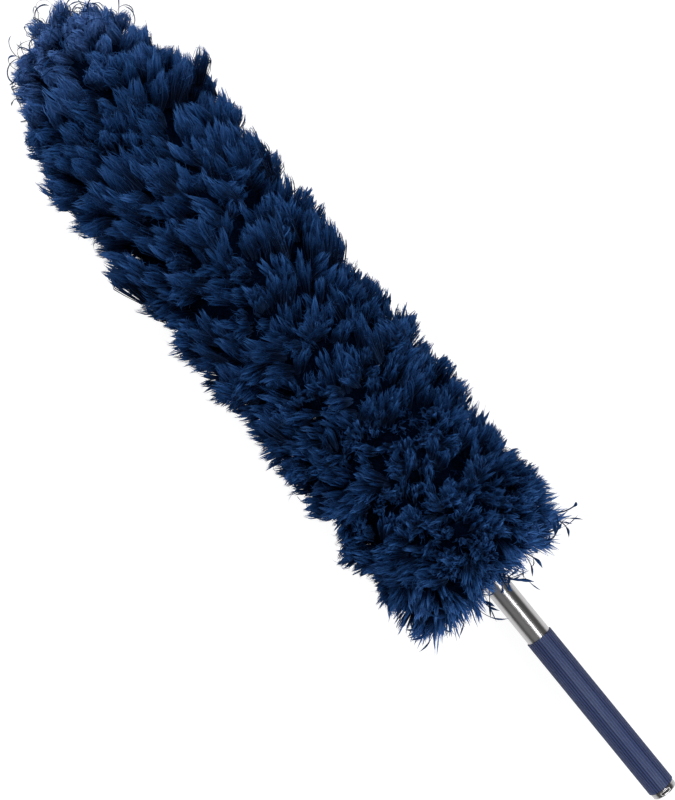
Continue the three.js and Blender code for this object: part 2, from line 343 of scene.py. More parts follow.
def roots_material():
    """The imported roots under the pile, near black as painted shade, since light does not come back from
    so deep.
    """
    made, tree, shader = new_material("navy_pile_roots", Specular_IOR_Level=0.0)
    fibres = noise(tree, place(tree), 700.0, 4.0)
    deep = ramp(tree, fibres, [(0.3, (0.0004, 0.001, 0.004)), (0.7, (0.002, 0.007, 0.024))])
    tree.links.new(deep, shader.inputs["Base Color"])
    tree.links.new(grey_ramp(tree, fibres, [(0.3, 1.0), (0.7, 0.9)]), shader.inputs["Roughness"])
    bump(tree, shader, fibres, 0.8, 0.8 * MM)
    return made


# ---- mesh helpers --------------------------------------------------------------------------


def finish_object(name, mesh, material, body, nodes=()):
    mesh.materials.append(material)
    made = bpy.data.objects.new(name, mesh)
    bpy.context.scene.collection.objects.link(made)
    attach(made, body)
    if nodes:
        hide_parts(*nodes)
    return made


def big_mesh(name, vertices, quads, triangles):
    """A mesh from numpy arrays, which is quicker than from_pydata for many faces."""
    mesh = bpy.data.meshes.new(name)
    corners = np.concatenate([quads.ravel(), triangles.ravel()]).astype(np.int32)
    starts = np.concatenate(
        [np.arange(len(quads)) * 4, len(quads) * 4 + np.arange(len(triangles)) * 3]
    ).astype(np.int32)
    mesh.vertices.add(len(vertices))
    mesh.vertices.foreach_set("co", vertices.astype(np.float32).ravel())
    mesh.loops.add(len(corners))
    mesh.loops.foreach_set("vertex_index", corners)
    mesh.polygons.add(len(starts))
    mesh.polygons.foreach_set("loop_start", starts)
    mesh.update(calc_edges=True)
    return mesh


def set_attribute(mesh, name, values):
    layer = mesh.attributes.new(name, "FLOAT", "POINT")
    layer.data.foreach_set("value", np.asarray(values, np.float32).ravel())


def ring_quads(rings, around, first=0):
    """Quads that join each ring of `around` vertices to the next, facing outwards."""
    i = np.arange(rings - 1)[:, None] * around
    j = np.arange(around)[None, :]
    after = (j + 1) % around
    return (first + np.stack([i + j, i + around + j, i + around + after, i + after], -1)).reshape(-1, 4)


def ring_points(x, radius, angles):
    """Points round the duster's axis at each x and radius."""
    x = np.broadcast_to(x, radius.shape)
    return np.stack([x, radius * np.cos(angles), AXIS_Z + radius * np.sin(angles)], -1)


def all_smooth(mesh):
    mesh.polygons.foreach_set("use_smooth", np.ones(len(mesh.polygons), bool))


def smooth_shade(mesh, sharp_degrees=35):
    """Smooth faces with crisp edges where they meet at more than sharp_degrees."""
    all_smooth(mesh)
    mesh.set_sharp_from_angle(angle=math.radians(sharp_degrees))


def turned(name, profile, segments=128):
    """A closed body turned round the duster's axis from its (x, radius) outline, which runs with the
    outside first, from the cap's end towards the head, and comes back along the bore."""
    x, radius = np.array(profile).T
    angles = np.arange(segments) * 2 * math.pi / segments
    points = ring_points(x[:, None], radius[:, None] * np.ones(segments), angles).reshape(-1, 3)
    quads = ring_quads(len(x) + 1, segments) % len(points)
    mesh = big_mesh(name, points, quads[:, ::-1], np.zeros((0, 3), int))
    smooth_shade(mesh)
    return mesh


def rounded(corner, before, after, radius, steps=4):
    """Points of a small round at a corner of an outline."""
    corner, before, after = (np.array(p, float) for p in (corner, before, after))
    into = (before - corner) / np.linalg.norm(before - corner)
    out = (after - corner) / np.linalg.norm(after - corner)
    start, end = corner + into * radius, corner + out * radius
    t = np.linspace(0, 1, steps + 1)[:, None]
    return [tuple(p) for p in (1 - t) ** 2 * start + 2 * t * (1 - t) * corner + t**2 * end]


def soften(profile, radius):
    """An outline with each of its corners rounded."""
    made = []
    for i, corner in enumerate(profile):
        before, after = profile[i - 1], profile[(i + 1) % len(profile)]
        room = 0.45 * min(math.dist(corner, before), math.dist(corner, after))
        made += rounded(corner, before, after, min(radius, room))
    return made


# ---- handle --------------------------------------------------------------------------------

EDGE = 0.2 * MM  # the round on a tube's cut edges
TUBE_WALL = {"outer_tube": 0.7 * MM, "middle_tube": 0.6 * MM, "inner_tube": 0.6 * MM}
MOUTH = {"outer_tube": 8.15 * MM, "middle_tube": 6.65 * MM}  # the radius inside a rolled mouth
MOUTH_LENGTH = 2.5 * MM
CONE = 1 * MM  # how long the step from the mouth to the bore is
FOOT_WIDTH = 1 * MM  # each of the two swaged rings that hold a friction sleeve
SLEEVE_ROOM = 13.6 * MM  # between the two rings
RING_PLAY = 0.15 * MM  # how much lower the inner ring is than the foot


def tube(name, radius, body):
    """A stainless tube, with its rolled mouth and its swaged foot where it has them."""
    start, end = reach(name)
    bore = radius - TUBE_WALL[name]
    foot = outer_radius(name)
    profile = [(start, radius)]
    if foot > radius + EDGE:
        seat = start + FOOT_WIDTH
        ring = seat + SLEEVE_ROOM
        ring_end, ring_top = ring + FOOT_WIDTH, foot - RING_PLAY
        profile = [(start, foot), (seat, foot), (seat, radius), (ring, radius)]
        profile += [(ring, ring_top), (ring_end, ring_top), (ring_end, radius)]
    profile += [(end, radius)]
    if name in MOUTH:
        lip = MOUTH[name]
        profile += [(end, lip), (end - MOUTH_LENGTH, lip), (end - MOUTH_LENGTH - CONE, bore)]
    else:
        profile += [(end, bore)]
    profile += [(start, bore)]
    mesh = turned(name + "_drawn", soften(profile, EDGE))
    return finish_object(name + "_drawn", mesh, stainless, body, [name])


stainless = stainless_material()
tube("outer_tube", 9.5 * MM, "handle")
tube("middle_tube", 8.0 * MM, "middle_section")
tube("inner_tube", 6.5 * MM, "head")

RIBS = 32
# A rib's outline from one groove's middle to the next: place across the rib, and depth.
RIB_PLACES = np.array([0, 0.11, 0.17, 0.23, 0.32, 0.5, 0.68, 0.77, 0.83, 0.89])
RIB_DEPTHS = np.array([0.4, 0.38, 0.26, 0.07, 0.02, 0, 0.02, 0.07, 0.26, 0.38]) * MM
GRIP_BORE = 9.65 * MM
GRIP_ROLL = (0.6 * MM, 0.45 * MM)  # the rolled lower end, along and across
HIGHLIGHT_TILT = 9  # degrees from straight up to the middle of the vinyl's painted highlight, towards -Y
HIGHLIGHT_EDGES = (0.91, 0.985)  # the cosine from that middle at which the painted highlight starts and is full


def grip_sleeve():
    """The vinyl sleeve: rounded ribs all round, a rolled lower end and a square-cut, flared rim."""
    start, end = reach("grip_sleeve")
    crest = outer_radius("grip_sleeve")
    angles = (np.arange(RIBS)[:, None] + RIB_PLACES).ravel() * 2 * math.pi / RIBS
    groove = np.tile(RIB_DEPTHS, RIBS)
    roll = np.linspace(0, math.pi / 2, 6)
    roll_x, roll_r = GRIP_ROLL
    sides = [(start + roll_x * (1 - math.cos(t)), crest - roll_r * (1 - math.sin(t)), 1) for t in roll]
    sides += [(x, crest, 1) for x in np.linspace(start + 1 * MM, end - 3 * MM, 24)]
    sides += [(end - 1.4 * MM, crest, 0.8), (end - 0.25 * MM, crest, 0.35), (end, crest - 0.15 * MM, 0.3)]
    rings = [ring_points(x, r - share * groove, angles) for x, r, share in sides]
    bore = np.full(len(angles), GRIP_BORE)
    rings += [ring_points(end, bore + 0.1 * MM, angles), ring_points(end - 0.2 * MM, bore, angles)]
    rings += [ring_points(start + 0.2 * MM, bore, angles), ring_points(start, bore + 0.1 * MM, angles)]
    points = np.concatenate(rings)
    quads = ring_quads(len(rings) + 1, len(angles)) % len(points)
    mesh = big_mesh("grip_sleeve_ribbed", points, quads[:, ::-1], np.zeros((0, 3), int))
    # How deep each point lies in a groove, which sets the vinyl's painted shade there.
    set_attribute(mesh, "groove", np.tile(groove / RIB_DEPTHS.max(), len(rings)))
    # Where the vinyl's painted highlight lies round the sleeve, 0 to 1.
    facing = np.cos(angles - math.radians(90 + HIGHLIGHT_TILT))
    upward = np.interp(facing, HIGHLIGHT_EDGES, [0, 1])
    set_attribute(mesh, "upward", np.tile(upward, len(rings)))
    smooth_shade(mesh, 30)
    finish_object("grip_sleeve_ribbed", mesh, vinyl, "handle", ["grip_sleeve"])


def slot_cutter(centre_x, width, length, height):
    """A bar with round ends, standing along Z through the handle's axis."""
    turn = np.linspace(0, math.pi, 13)
    reach_y = (length - width) / 2
    outline = [(width / 2 * math.cos(t), reach_y + width / 2 * math.sin(t)) for t in turn]
    outline += [(-x, -y) for x, y in outline]
    count = len(outline)
    points = [(centre_x + x, y, AXIS_Z + z) for z in (-height, height) for x, y in outline]
    walls = [(i, (i + 1) % count, (i + 1) % count + count, i + count) for i in range(count)]
    faces = [*walls, tuple(range(count))[::-1], tuple(range(count, 2 * count))]
    mesh = bpy.data.meshes.new("slot_cutter")
    mesh.from_pydata(points, [], faces)
    mesh.validate()
    made = bpy.data.objects.new("slot_cutter", mesh)
    bpy.context.scene.collection.objects.link(made)
    return made


CAP_SLOT = {"from_end": 2.9 * MM, "width": 1.6 * MM, "length": 7.2 * MM}
CAP_LENGTH = 5.4 * MM  # outside the grip
CAP_EDGE = 0.2 * MM
CAP_GROOVE = 0.25 * MM  # the depth of the fine groove
SPIGOT_RADIUS = 8.6 * MM
CAP_BORE = 7.4 * MM
CAP_WALL = 1.4 * MM  # the end's thickness on the axis
SLOT_BEVEL = 0.32 * MM
SLOT_HIGHLIGHT_RIM = 0.34 * MM  # how far round the slot the plating is painted pale, as a painted highlight on its edge
ON_AXIS = 0.001 * MM  # stands for no radius, so that a turned body keeps its last ring


def end_cap():
    """The chromed cap: a domed end with the hanging slot behind it, a fine groove close to the grip,
    and a hollow spigot that plugs into the handle tube."""
    start, end = reach("end_cap")
    radius = outer_radius("end_cap")
    step = start + CAP_LENGTH
    turn = np.linspace(0, math.pi / 2, 10)
    flat, dome = 5.2 * MM, 1.7 * MM
    profile = [(start, ON_AXIS)]
    profile += [(start + dome * (1 - math.cos(t)), flat + (radius - flat) * math.sin(t)) for t in turn]
    profile += [(step - 1.35 * MM, radius), (step - 1.2 * MM, radius - CAP_GROOVE)]
    profile += [(step - 1.0 * MM, radius - CAP_GROOVE), (step - 0.85 * MM, radius)]
    profile += [(step - CAP_EDGE, radius), (step, radius - CAP_EDGE)]
    profile += [(step, SPIGOT_RADIUS), (end - 0.6 * MM, SPIGOT_RADIUS)]
    profile += [(end, SPIGOT_RADIUS - 0.5 * MM), (end, CAP_BORE)]
    profile += [(start + CAP_WALL, CAP_BORE), (start + CAP_WALL, ON_AXIS)]
    body = bpy.data.objects.new("end_cap_body", turned("end_cap_body", profile, 160))
    bpy.context.scene.collection.objects.link(body)
    cutter = slot_cutter(start + CAP_SLOT["from_end"], CAP_SLOT["width"], CAP_SLOT["length"], 12 * MM)
    cut = body.modifiers.new("slot", "BOOLEAN")
    cut.object = cutter
    cut.solver = "EXACT"
    edge = body.modifiers.new("slot_edge", "BEVEL")
    edge.width = SLOT_BEVEL
    edge.segments = 3
    edge.limit_method = "ANGLE"
    edge.angle_limit = math.radians(50)
    depsgraph = bpy.context.evaluated_depsgraph_get()
    mesh = bpy.data.meshes.new_from_object(body.evaluated_get(depsgraph))
    bpy.data.objects.remove(body)
    bpy.data.objects.remove(cutter)
    smooth_shade(mesh, 40)
    finish_object("end_cap_chromed", mesh, chrome, "handle", ["end_cap"])
    mesh.materials.append(plastic)
    mesh.materials.append(highlight_rim_chrome)
    half_width, half_reach = CAP_SLOT["width"] / 2, (CAP_SLOT["length"] - CAP_SLOT["width"]) / 2
    for face in mesh.polygons:
        x, y, z = face.center
        off_axis = math.hypot(y, z - AXIS_Z)
        from_slot = math.hypot(x - start - CAP_SLOT["from_end"], max(abs(y) - half_reach, 0)) - half_width
        in_bore = off_axis < CAP_BORE + 0.2 * MM and x > start + CAP_WALL - 0.1 * MM
        on_skin = off_axis > SPIGOT_RADIUS + 0.3 * MM and abs(z - AXIS_Z) > abs(y)
        # The bore inside the cap takes black plastic as painted shade, so that the slot looks dark.
        if in_bore:
            face.material_index = 1
        # Round the slot, the outer skin takes a pale, rough chrome as a painted highlight.
        elif on_skin and from_slot < SLOT_HIGHLIGHT_RIM:
            face.material_index = 2


plastic = plastic_material()
vinyl = grip_material()
chrome = chrome_material("chrome_cap", (0.42, 0.415, 0.42), 0.2)
# A pale, rough chrome that paints a highlight round the slot's edge.
highlight_rim_chrome = chrome_material("chrome_worn_edge", (0.92, 0.9, 0.9), 0.5)
grip_sleeve()
end_cap()

# ---- head ----------------------------------------------------------------------------------


def outline_radius(x):
    """The radius of the head's side and dome at x, without the lobes."""
    along = np.clip((x - (HEAD_TIP - DOME_LENGTH)) / DOME_LENGTH, 0, 1)
    return PILE_RADIUS * np.sqrt(1 - along**2)


def head_outline(points=240):
    """The head's outline as length, x, radius and the angle of its outward normal, evenly spaced."""
    shoulder = np.linspace(0, math.pi / 2, 12)
    dome = np.linspace(0, math.pi / 2, 40)
    x = np.concatenate(
        [
            [SKIRT_FACE + BASE_INSET],
            SKIRT_FACE + BASE_INSET + SHOULDER * (1 - np.cos(shoulder)),
            HEAD_TIP - DOME_LENGTH + DOME_LENGTH * np.sin(dome),
        ]
    )
    radius = np.concatenate(
        [
            [HOLE_RADIUS],
            PILE_RADIUS - SHOULDER * (1 - np.sin(shoulder)),
            PILE_RADIUS * np.cos(dome),
        ]
    )
    length = np.concatenate([[0], np.cumsum(np.hypot(np.diff(x), np.diff(radius)))])
    even = np.linspace(0, length[-1], points)
    x, radius = np.interp(even, length, x), np.interp(even, length, radius)
    normal = np.arctan2(-np.gradient(radius), np.gradient(x))
    return even, x, radius, normal


def drift(x, angle, rng, low=9, high=26, turns=5, waves=8):
    """Smooth noise over the head's surface, mostly between -1 and 1. low and high are its waves
    in a metre along the head, and turns the most waves round it."""
    total = np.zeros_like(x)
    for _ in range(waves):
        per_metre = rng.uniform(low, high) * rng.choice([-1, 1])
        around = rng.integers(-turns, turns + 1)
        total += np.sin(2 * math.pi * per_metre * x + around * angle + rng.uniform(0, 2 * math.pi))
    return total / math.sqrt(waves) / 1.2


def gather_tufts(at, round_at, rng):
    """For each lock, its tip's way to the middle of its tuft, along and round, and its tuft's number.
    at and round_at are the lock's place along the outline and round the head, in metres."""
    count = len(at)
    middle = rng.choice(count, count // LOCKS_PER_TUFT, replace=False)
    full = 2 * math.pi * PILE_RADIUS
    along = at[middle] - at[:, None]
    around = (round_at[middle] - round_at[:, None] + full / 2) % full - full / 2
    nearest = np.argmin(np.hypot(along, around), 1)
    rows = np.arange(count)
    return along[rows, nearest], around[rows, nearest], nearest


def place_locks(rng):
    """Where each lock's tip is and how it lies: x, radius, angle, normal, lean, swirl, size, its pull
    along and round the head, and its tone."""
    even, outline_x, outline_r, outline_normal = head_outline()
    places, angles, sizes = [], [], []
    at = LOCK_SPACING[0] / 3
    while at < even[-1] + LOCK_SPACING[1] / 2:
        spacing = np.interp(at, [0, even[-1]], LOCK_SPACING)
        count = max(3, round(2 * math.pi * np.interp(at, even, outline_r) / spacing))
        places.append(at + rng.uniform(-0.45, 0.45, count) * spacing)
        turn = rng.uniform(0, 1) + np.arange(count) + rng.uniform(-0.38, 0.38, count)
        angles.append(turn * 2 * math.pi / count)
        sizes.append(np.full(count, spacing))
        at += spacing * 0.88
    at, angle, size = (np.concatenate(v) for v in (places, angles, sizes))
    x, r, normal = (np.interp(at, even, v) for v in (outline_x, outline_r, outline_normal))
    pull_along, pull_round, tuft = gather_tufts(at, angle * PILE_RADIUS, rng)
    pull_round = pull_round * r / PILE_RADIUS
    off_middle = np.hypot(pull_along, pull_round)
    tufts = tuft.max() + 1
    side = np.cos(normal)
    row_phase = 2 * math.pi * (x - FIRST_ROW) / ROW_PITCH
    proud = np.interp(x, [SOFT_FROM, SOFT_TO], PROUD)
    rounding = TUFT_ROUNDING * np.minimum(off_middle / TUFT_RADIUS, 1.4) ** 2
    lift = proud - LOBE * np.cos(row_phase) + SURFACE_DRIFT * drift(x, angle, rng)
    lift = lift + rng.normal(0, TUFT_LIFT, tufts)[tuft] - rounding
    lift = lift + LOCK_RISE + rng.normal(0, LOCK_LIFT, len(x))
    lift = lift - DROPPED_DEPTH * (rng.uniform(0, 1, len(x)) < DROPPED_SHARE)
    lift = lift - BASE_HOLLOW * np.exp(-((r / BASE_HOLLOW_RADIUS) ** 2)) * (normal < -0.5)
    off_turn = (angle - DENT["angle"] + math.pi) % (2 * math.pi) - math.pi
    dent = np.exp(-(((x - DENT["x"]) / DENT["length"]) ** 2) - (off_turn / DENT["turn"]) ** 2)
    lift = lift - DENT["depth"] * dent
    x = x + lift * np.sin(normal)
    r = r + lift * side
    lean = np.radians(np.interp(x, LEAN_AT, LEAN_DEGREES))
    share = np.where(normal > 0, 1.0, 0.5) * np.abs(normal) / (math.pi / 2)
    lean = lean + (normal - lean) * share
    lean = lean - 0.16 * np.sin(row_phase) * side
    lean = lean + 0.2 * drift(x, angle, rng) + rng.normal(0, 0.1, len(x))
    lean = lean + rng.normal(0, 0.1, tufts)[tuft]
    swirl = 0.26 * drift(x, angle, rng) + rng.normal(0, 0.12, len(x)) + rng.normal(0, 0.12, tufts)[tuft]
    size = size * rng.uniform(0.75, 1.3, len(x))
    pull = TUFT_PULL * rng.uniform(0.5, 1.2, tufts)[tuft] * (1 + 0.1 * softness(x) - 0.6 * paleness(x))
    pull = pull * np.minimum(1, 10 * MM / off_middle.clip(MM))
    tone = rng.uniform(0, 0.26, tufts)[tuft] + rng.uniform(0, 0.14, len(x))
    tone = tone + 0.18 * softness(x) + 0.76 * paleness(x) + 0.25 * fraying(x)
    return np.array([x, r, angle, normal, lean, swirl, size, pull * pull_along, pull * pull_round, tone])


def unit(vectors):
    return vectors / np.linalg.norm(vectors, axis=-1, keepdims=True)


def disc(rng, *shape):
    """Random points in a disc of radius 1."""
    turn = rng.uniform(0, 2 * math.pi, shape)
    out = np.sqrt(rng.uniform(0, 1, shape))
    return np.stack([out * np.cos(turn), out * np.sin(turn)], -1)


def sunflower(count):
    """Points spread evenly over a disc of radius 1."""
    at = np.arange(count) + 0.5
    turn = at * math.pi * (3 - math.sqrt(5))
    return np.sqrt(at / count)[:, None] * np.stack([np.cos(turn), np.sin(turn)], -1)


def surface_frames(x, r, angle, normal):
    """The point, the outward normal, the way round and the way along the head's outline at each place."""
    zero = np.zeros_like(angle)
    outward = np.stack([zero, np.cos(angle), np.sin(angle)], -1)
    around = np.stack([zero, -np.sin(angle), np.cos(angle)], -1)
    forward = np.array([1.0, 0, 0])
    point = np.stack([x, r * np.cos(angle), AXIS_Z + r * np.sin(angle)], -1)
    out = np.cos(normal)[:, None] * outward + np.sin(normal)[:, None] * forward
    return point, out, around, np.cross(out, around)


def softness(x):
    """0 where the pile is of clear yarns, 1 where it is brushed out."""
    return np.clip((x - SOFT_FROM) / (SOFT_TO - SOFT_FROM), 0, 1)


def paleness(x):
    """0 along the head, rising to 1 at its tip, where the fibres are thin and worn."""
    return np.clip((x - PALE_FROM) / (PALE_TO - PALE_FROM), 0, 1)


def fraying(x):
    """1 at the pile's base, where the yarns hang loose, falling to 0 along the head."""
    return np.clip((FRAYED_TO - x) / (FRAYED_TO - SKIRT_FACE), 0, 1)


def strands_of(locks, strands, rng):
    """Every strand's path, as points of shape (locks, clumps, strands, stations, 3), two vectors
    across it, and how far each point is from root to tip."""
    x, r, angle, normal, lean, swirl, size, pull_along, pull_round, _ = locks
    count = len(x)
    tip, out, around, onward = surface_frames(x, r, angle, normal)
    off_normal = (lean - normal)[:, None]
    way = unit(np.cos(off_normal) * out + np.sin(off_normal) * onward + np.tan(swirl)[:, None] * around)
    length = 1.2 * UNDERLAY_DEPTH / np.maximum(np.cos(lean - normal), 0.62)
    root = tip - way * length[:, None]
    tip = tip + pull_along[:, None] * onward + pull_round[:, None] * around
    way = unit(tip - root)
    across = unit(np.cross(way, rng.normal(size=(count, 3))))
    over = np.cross(way, across)
    wide = 0.46 * size
    thick = wide * rng.uniform(0.55, 0.95, count)

    v = STATIONS
    soft = np.clip(0.85 * softness(x) + rng.uniform(0, 0.2, count), 0, 1)[:, None, None, None, None]
    shape = (count, CLUMPS_PER_LOCK, strands)
    clump = sunflower(CLUMPS_PER_LOCK) + 0.12 * disc(rng, count, CLUMPS_PER_LOCK)
    strand = disc(rng, *shape)
    open_lock, closed_lock = np.array([[0.55, 0.9, 1.06, 1.05], [0.5, 0.95, 0.9, 0.5]])[:, :, None]
    spread = open_lock + soft * (closed_lock - open_lock)
    yarn, brushed = np.array([[0.3, 0.33, 0.32, 0.06], [0.4, 0.55, 0.5, 0.2]])[:, :, None]
    gather = yarn + soft * (brushed - yarn)
    offset = spread * (clump[:, :, None, None] + gather * strand[..., None, :])
    offset = offset * np.stack([wide, thick], -1)[:, None, None, None]
    curl = 2.6 * MM * disc(rng, count, CLUMPS_PER_LOCK)[:, :, None, None]
    bend = (3 + 5 * soft) * MM * disc(rng, count)[:, None, None, None]
    frizz = (0.2 + 0.8 * soft) * MM * disc(rng, *shape)[..., None, :]
    offset = offset + (curl + frizz) * (v**3)[:, None] + bend * (v**2)[:, None]
    crimp = (0.25 + 0.45 * soft) * np.interp(v, [0, 0.3, 1], [0, 0.8, 1])[:, None] * MM
    offset = offset + crimp * rng.normal(size=(*shape, len(v), 2))
    share = 1 - 0.26 * np.sum(clump**2, -1) + rng.normal(0, 0.06, (count, CLUMPS_PER_LOCK))
    ragged = 0.08 + 0.16 * soft[..., 0, 0]
    frayed = 0.55 * fraying(x)[:, None, None] * rng.uniform(0, 1, shape) ** 3
    share = share[..., None] * (1.03 - ragged * rng.uniform(0, 1, shape) ** 2 + frayed)
    along = share[..., None] * v
    distance = length[:, None, None, None] * along
    path = root[:, None, None, None] + distance[..., None] * way[:, None, None, None]
    across, over = across[:, None, None], over[:, None, None]
    path = path + offset[..., :1] * across[..., None, :] + offset[..., 1:] * over[..., None, :]
    roll = rng.uniform(0, math.pi, shape)[..., None]
    first = np.cos(roll) * across + np.sin(roll) * over
    second = np.cos(roll) * over - np.sin(roll) * across
    return path, first, second, along


def fluff_of(path, per_lock, rng):
    """Fine fibres that leave the upper parts of random strands and curl back towards the head's axis:
    their paths, two vectors across them, and their place in the colours."""
    locks, clumps, strands, _, _ = path.shape
    which = rng.integers(0, clumps * strands, (locks, per_lock))
    flat = path.reshape(locks, clumps * strands, len(STATIONS), 3)
    chosen = np.take_along_axis(flat, which[..., None, None], 1).reshape(-1, len(STATIONS), 3)
    total = len(chosen)
    share = rng.uniform(0, 0.8, (total, 1))
    start = chosen[:, 1] + share * (chosen[:, 3] - chosen[:, 1])
    way = unit(unit(chosen[:, 3] - chosen[:, 1]) + 0.4 * rng.normal(size=(total, 3)))
    aside = unit(np.cross(way, rng.normal(size=(total, 3))))
    from_axis = start - np.array([0, 0, AXIS_Z])
    outward = np.sum(aside[:, 1:] * from_axis[:, 1:], -1, keepdims=True)
    aside = -aside * np.sign(outward)
    length = rng.uniform(4, 9, total) * MM
    made = curls(start, way, aside, length, rng.uniform(0.5, 2.6, total), len(STATIONS))
    return made, aside, np.cross(way, aside), np.full(made.shape[:2], FLUFF_TONE)


def eased(values, start, room):
    """Values that run past start ease off, and never pass start + room."""
    over = np.maximum(values - start, 0)
    return np.minimum(values, start) + room * np.tanh(over / room)


def keep_clear(path):
    """Keeps strands above the floor, within the pile's width and height and off the handle."""
    ease_from, room = PILE_RADIUS + WIDEST[0], WIDEST[1]
    path[..., 2] = -eased(-path[..., 2], -FLOOR_CLEARANCE - SETTLE, SETTLE)
    path[..., 1] = np.sign(path[..., 1]) * eased(np.abs(path[..., 1]), ease_from, room)
    path[..., 2] = AXIS_Z + eased(path[..., 2] - AXIS_Z, ease_from, room)
    y, z = path[..., 1], path[..., 2] - AXIS_Z
    radius = np.hypot(y, z)
    near = (path[..., 0] < CLEARED_TO) & (radius < HANDLE_CLEARANCE)
    push = np.where(near, HANDLE_CLEARANCE / np.maximum(radius, 0.1 * MM), 1.0)
    path[..., 1] = y * push
    path[..., 2] = AXIS_Z + z * push
    return path


def strand_mesh_data(path, first, second, along, widths, tone, rng):
    """Closed three-sided strands that taper to a point: vertices, quads, triangles and attributes.
    tone is how pale each strand is, or each equal share of the strands."""
    stations = path.shape[-2]
    path = path.reshape(-1, stations, 3)
    along = along.reshape(-1, stations)
    total = len(path)
    first, second = first.reshape(total, 1, 1, 3), second.reshape(total, 1, 1, 3)
    width = widths * rng.uniform(0.55, 1.35, (total, 1))
    turn = np.arange(3) * 2 * math.pi / 3
    side = np.cos(turn)[:, None] * first + LEAF_FLATNESS * np.sin(turn)[:, None] * second
    rings = path[:, :-1, None] + side * width[..., None, None]
    vertices = np.concatenate([rings.reshape(total, -1, 3), path[:, -1:]], 1)
    each = vertices.shape[1]
    quads = ring_quads(stations - 1, 3)[:, ::-1]
    a, b, c, point = each - 4, each - 3, each - 2, each - 1
    caps = np.array([[0, 2, 1], [a, b, point], [b, c, point], [c, a, point]])
    base = np.arange(total)[:, None, None] * each
    along = np.concatenate([np.repeat(along[:, :-1], 3, axis=1), along[:, -1:]], 1)
    tone = np.repeat(tone, total // len(tone))
    shade = np.repeat(tone + rng.uniform(0, 0.6, total), each)
    quads, caps = (base + quads).reshape(-1, 4), (base + caps).reshape(-1, 3)
    return vertices.reshape(-1, 3), quads, caps, along.ravel(), shade


def underlay(start, end, bore, rng):
    """The dense inner pile as one closed ring with a lumpy outside, which is coloured near black as painted
    shade.
    """
    around, stations = 96, 14
    angles = np.arange(around) * 2 * math.pi / around
    x = np.linspace(start, end, stations)
    grid_x, grid_a = np.meshgrid(x, angles, indexing="ij")
    radius = outline_radius(grid_x) - UNDERLAY_DEPTH
    radius = radius + 2 * MM * drift(grid_x, grid_a, rng, 40, 90, 14)
    radius = np.maximum(radius, bore + 2 * MM)
    outside = ring_points(grid_x, radius, grid_a)
    inner = ring_points(np.array([end, start])[:, None], bore * np.ones((2, around)), angles)
    points = np.concatenate([outside.reshape(-1, 3), inner.reshape(-1, 3)])
    quads = ring_quads(stations + 3, around) % len(points)
    return points, quads[:, ::-1]


def strand_mesh(name, vertices, quads, triangles, along, shade):
    """A smooth mesh with the two attributes that the pile's colours read."""
    mesh = big_mesh(name, vertices, quads, triangles)
    set_attribute(mesh, "along", along)
    set_attribute(mesh, "shade", shade)
    all_smooth(mesh)
    return mesh


def pile_piece(name, node, locks, start, end, bore, rng):
    """One CAD row's pile: its underlay, its strands and its fluff, as one piece."""
    soft = softness(np.mean(locks[0]))
    strands, fluff = (round(low + soft * (high - low)) for low, high in (STRANDS_PER_CLUMP, FLUFF_PER_LOCK))
    path, first, second, along = strands_of(locks, strands, rng)
    path = keep_clear(path)
    tone = locks[-1]
    pale = 0.35 * paleness(locks[0])[:, None, None, None]
    along = along + pale * (1 - along)
    layers = [strand_mesh_data(path, first, second, along, LEAF_WIDTH, tone, rng)]
    path, first, second, along = fluff_of(path, fluff, rng)
    layers.append(strand_mesh_data(keep_clear(path), first, second, along, FLUFF_WIDTH, tone, rng))
    base_points, base_quads = underlay(start, end, bore, rng)
    count = len(base_points)
    points, quads, triangles = [keep_clear(base_points)], [base_quads], []
    alongs, shades = [np.full(count, 0.05)], [np.full(count, 0.3)]
    for more_points, more_quads, more_triangles, along, shade in layers:
        points.append(more_points)
        quads.append(more_quads + count)
        triangles.append(more_triangles + count)
        alongs.append(along)
        shades.append(shade)
        count += len(more_points)
    joined = (np.concatenate(parts) for parts in (points, quads, triangles, alongs, shades))
    mesh = strand_mesh(name, *joined)
    # The underlay's faces take the near-black roots material, which is painted shade.
    slots = np.zeros(len(mesh.polygons), np.int32)
    slots[: len(base_quads)] = 1
    finish_object(name, mesh, navy_pile, "head", [node])
    mesh.materials.append(painted_shade_roots)
    mesh.polygons.foreach_set("material_index", slots)


def curls(start, way, aside, length, turn, stations):
    """Paths that set off along way and turn aside by turn radians over their length."""
    v = np.linspace(0, 1, stations)
    heading = turn[:, None] * (v[:-1] + v[1:]) / 2
    step = length[:, None] / (stations - 1)
    moves = np.cos(heading)[..., None] * way[:, None] + np.sin(heading)[..., None] * aside[:, None]
    path = start[:, None] + np.cumsum(step[..., None] * moves, 1)
    return np.concatenate([start[:, None], path], 1)


def loose_piece(name, path, widths, tone, rng):
    """Single strands that stand clear of the pile, as one piece."""
    count, stations, _ = path.shape
    # Darker where they leave the pile, along the same painted root shade as the pile's strands, and paler
    # towards their ends.
    along = np.broadcast_to(np.linspace(0.5, 0.76, stations), (count, stations))
    way = unit(path[:, -1] - path[:, 0])
    first = unit(np.cross(way, rng.normal(size=(count, 3))))
    second = np.cross(way, first)
    data = strand_mesh_data(keep_clear(path), first, second, along, widths, [tone], rng)
    finish_object(name, strand_mesh(name, *data), navy_pile, "head")


